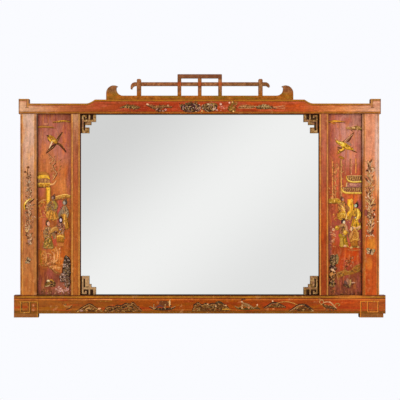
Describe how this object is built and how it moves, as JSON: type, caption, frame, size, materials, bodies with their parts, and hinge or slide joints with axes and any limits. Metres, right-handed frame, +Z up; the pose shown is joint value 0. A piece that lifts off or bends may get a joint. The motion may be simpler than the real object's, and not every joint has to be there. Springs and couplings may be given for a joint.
{
  "type": "overmantel wall mirror",
  "caption": "Wide lacquered wooden wall mirror with side panels, corner frets and an openwork crest, hung by swinging rings on its back.",
  "frame": {"origin": "point of the wall plane behind the centre of the mirror plate, on the middle back board's rear face", "axes": "+X to the right seen from the front, +Y into the wall, +Z up; the front faces -Y"},
  "size_m": [1.376, 0.039, 0.9015],
  "materials": {
    "rail_lacquer": "red lacquer over wood with ochre edge lines, rubbed",
    "stile_lacquer": "salmon and orange lacquer over wood, rubbed",
    "panel_lacquer": "purple-red lacquer over wood, crackled",
    "crest_lacquer": "ochre-brown lacquer over wood, worn",
    "fret_gilding": "dull bronze gilding over carved wood",
    "relief_gilding": "raised gesso, gilded and painted dark",
    "back_wood": "bare softwood, aged",
    "mirror_plate": "silvered plate glass",
    "brass": "dull brass",
    "screw_steel": "darkened steel"
  },
  "bodies": {
    "frame": {"top_rail": "rail_lacquer", "bottom_rail": "rail_lacquer", "left_foot": "rail_lacquer", "right_foot": "rail_lacquer", "left_outer_stile": "stile_lacquer", "right_outer_stile": "stile_lacquer", "left_inner_stile": "stile_lacquer", "right_inner_stile": "stile_lacquer", "left_panel": "panel_lacquer", "right_panel": "panel_lacquer", "mirror_glass": "mirror_plate", "glass_blocks": "back_wood", "upper_left_fret": "fret_gilding", "upper_right_fret": "fret_gilding", "lower_left_fret": "fret_gilding", "lower_right_fret": "fret_gilding", "crest_base": "crest_lacquer", "crest_rail": "crest_lacquer", "left_end_post": "crest_lacquer", "right_end_post": "crest_lacquer", "left_box_post": "crest_lacquer", "centre_box_post": "crest_lacquer", "right_box_post": "crest_lacquer", "crest_cap_bar": "crest_lacquer", "crest_dowels": "back_wood", "crest_pins": "brass", "tenon_pegs": "back_wood", "foot_screws": "screw_steel", "upper_back_board": "back_wood", "middle_back_board": "back_wood", "lower_back_board": "back_wood", "back_board_screws": "screw_steel", "left_hanger_strap": "brass", "right_hanger_strap": "brass", "hanger_screws": "brass", "left_panel_relief": "relief_gilding", "right_panel_relief": "relief_gilding", "left_stile_relief": "relief_gilding", "right_stile_relief": "relief_gilding", "top_rail_relief": "relief_gilding", "bottom_rail_relief": "relief_gilding"},
    "left_ring": {"left_hanging_ring": "brass"},
    "right_ring": {"right_hanging_ring": "brass"}
  },
  "joints": [
    {"name": "left_ring_swing", "type": "hinge", "parent": "frame", "child": "left_ring", "pos_m": [-0.6335, -0.0044, 0.2], "axis": [1, 0, 0], "range_deg": [0, 180]},
    {"name": "right_ring_swing", "type": "hinge", "parent": "frame", "child": "right_ring", "pos_m": [0.6335, -0.0044, 0.2], "axis": [1, 0, 0], "range_deg": [0, 180]}
  ]
}
